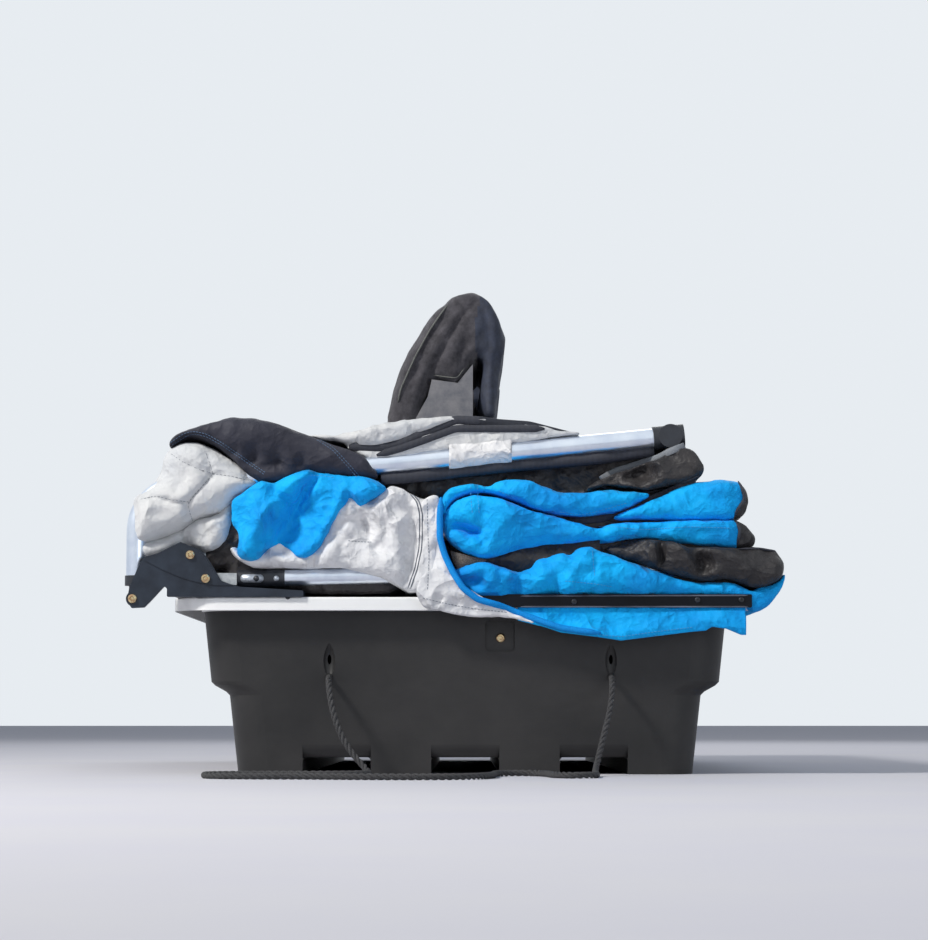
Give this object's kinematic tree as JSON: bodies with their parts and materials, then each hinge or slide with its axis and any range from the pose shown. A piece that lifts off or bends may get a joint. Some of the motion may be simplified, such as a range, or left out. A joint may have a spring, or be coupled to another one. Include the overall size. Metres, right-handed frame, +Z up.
{
  "type": "folded flip-over ice fishing shelter",
  "caption": "Ice fishing shelter folded down on its tow sled: moulded tub, hinged tube bows, quilted tent cloth in layers, padded seats and a tow rope.",
  "frame": {"origin": "middle of the whole footprint, on the floor under the runners", "axes": "X across the sled with the bow hinges at -X, Y along the sled with the tow end at -Y, Z up"},
  "size_m": [1.0608, 1.8835, 0.819],
  "materials": {
    "hull_plastic": "moulded black polyethylene, satin, slightly mottled",
    "rim_trim": "pale satin trim",
    "bow_tube": "drawn tube, satin",
    "bow_fitting": "black moulded",
    "zinc": "zinc plated",
    "bracket_plastic": "black moulded, satin",
    "clamp_strip": "black satin",
    "white_quilt": "quilted white lining",
    "black_cloth": "black coated cloth",
    "window_cloth": "black cloth with a window pocket",
    "blue_cloth": "bright blue coated cloth",
    "grey_cloth": "light grey coated cloth",
    "seat_plastic": "grey moulded shell",
    "seat_cloth": "dark padded cloth",
    "rail_steel": "square steel tube",
    "rope": "black braided rope"
  },
  "bodies": {
    "root": {"dark_fold": "black_cloth", "far_back_cushion": "seat_cloth", "far_bracket": "bracket_plastic", "far_door_drape": "blue_cloth", "far_elbow": "bow_fitting", "far_lock_sleeve": "bow_fitting", "far_low_fork": "zinc", "far_seat_cushion": "seat_cloth", "far_seat_shell": "seat_plastic", "far_seat_stand": "seat_plastic", "far_side_panel": "grey_cloth", "far_skirt": "blue_cloth", "far_socket": "bow_fitting", "far_strip": "clamp_strip", "far_top_arm": "bow_tube", "far_top_quilt": "white_quilt", "hinge_skirt": "grey_cloth", "hinge_strip": "clamp_strip", "low_bow": "bow_tube", "lower_fold": "blue_cloth", "mid_bow": "bow_tube", "middle_fold": "blue_cloth", "near_back_cushion": "seat_cloth", "near_bracket": "bracket_plastic", "near_door_drape": "blue_cloth", "near_elbow": "bow_fitting", "near_lock_sleeve": "bow_fitting", "near_low_fork": "zinc", "near_seat_cushion": "seat_cloth", "near_seat_shell": "seat_plastic", "near_seat_stand": "seat_plastic", "near_side_panel": "grey_cloth", "near_skirt": "blue_cloth", "near_socket": "bow_fitting", "near_strip": "clamp_strip", "near_top_arm": "bow_tube", "near_top_quilt": "white_quilt", "quilt_bulge": "white_quilt", "quilt_roll": "white_quilt", "roof_panel": "black_cloth", "rope_knots": "rope", "seat_rails": "rail_steel", "sled_rim": "rim_trim", "sled_tub": "hull_plastic", "top_crossbar": "bow_tube", "tow_rope": "rope", "upper_fold": "blue_cloth", "window_panel": "window_cloth"}
  },
  "joints": []
}
